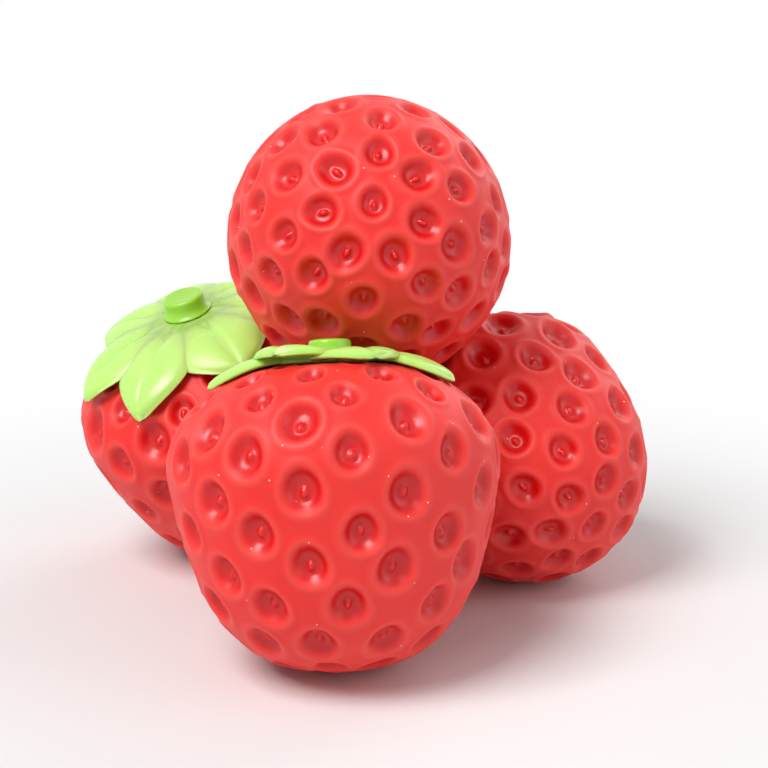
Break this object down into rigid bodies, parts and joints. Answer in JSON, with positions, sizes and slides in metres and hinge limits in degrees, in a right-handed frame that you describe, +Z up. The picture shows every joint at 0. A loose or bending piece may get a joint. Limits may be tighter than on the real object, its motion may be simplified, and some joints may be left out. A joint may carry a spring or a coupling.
{
  "type": "artificial strawberry pile",
  "caption": "Loose pile of soft vinyl strawberries with dimpled skins, foam cores, leaf rosettes and plug-in stems, for decoration.",
  "frame": {"origin": "bottom centre of the pile's box, on the surface that it stands on", "axes": "+Z up; -Y towards the front berry, which leans back; +X towards the berry that lies on its side"},
  "size_m": [0.1012, 0.0995, 0.0864],
  "materials": {
    "skin": "soft matte",
    "core": "foam",
    "calyx": "gloss",
    "stem": "gloss"
  },
  "bodies": {
    "front_berry": {"front_skin": "skin", "front_core": "core"},
    "left_berry": {"left_skin": "skin", "left_core": "core"},
    "top_berry": {"top_skin": "skin", "top_core": "core"},
    "right_berry": {"right_skin": "skin", "right_core": "core"},
    "front_leaves": {"front_calyx": "calyx", "front_stem": "stem"},
    "left_leaves": {"left_calyx": "calyx"},
    "left_plug": {"left_stem": "stem"},
    "top_leaves": {"top_calyx": "calyx"},
    "top_plug": {"top_stem": "stem"},
    "right_leaves": {"right_calyx": "calyx"},
    "right_plug": {"right_stem": "stem"}
  },
  "joints": [
    {"name": "top_lift", "type": "slide", "parent": "front_berry", "child": "top_berry", "axis": [0, 0, 1], "range_m": [0, 0.05]},
    {"name": "left_away", "type": "slide", "parent": "front_berry", "child": "left_berry", "axis": [-0.4149, 0.9099, 0], "range_m": [0, 0.04]},
    {"name": "right_away", "type": "slide", "parent": "front_berry", "child": "right_berry", "axis": [0.5422, 0.8403, 0], "range_m": [0, 0.04]},
    {"name": "front_leaves_turn", "type": "hinge", "parent": "front_berry", "child": "front_leaves", "pos_m": [-0.00427, -0.01933, 0.04553], "axis": [-0.037, 0.2989, 0.9536], "range_deg": [-10, 10]},
    {"name": "left_leaves_turn", "type": "hinge", "parent": "left_berry", "child": "left_leaves", "pos_m": [-0.02966, 0.02132, 0.04339], "axis": [-0.2629, -0.2509, 0.9316], "range_deg": [-10, 10]},
    {"name": "top_leaves_turn", "type": "hinge", "parent": "top_berry", "child": "top_leaves", "pos_m": [0.00107, 0.02183, 0.05723], "axis": [-0.035, 0.9342, -0.3551], "range_deg": [-60, 60]},
    {"name": "right_leaves_turn", "type": "hinge", "parent": "right_berry", "child": "right_leaves", "pos_m": [0.01798, 0.03135, 0.02804], "axis": [-0.513, 0.8, 0.311], "range_deg": [-60, 60]},
    {"name": "left_stem_pull", "type": "slide", "parent": "left_berry", "child": "left_plug", "axis": [-0.2629, -0.2509, 0.9316], "range_m": [0, 0.012]},
    {"name": "top_stem_pull", "type": "slide", "parent": "top_berry", "child": "top_plug", "axis": [-0.035, 0.9342, -0.3551], "range_m": [0, 0.012]},
    {"name": "right_stem_pull", "type": "slide", "parent": "right_berry", "child": "right_plug", "axis": [-0.513, 0.8, 0.311], "range_m": [0, 0.012]}
  ]
}
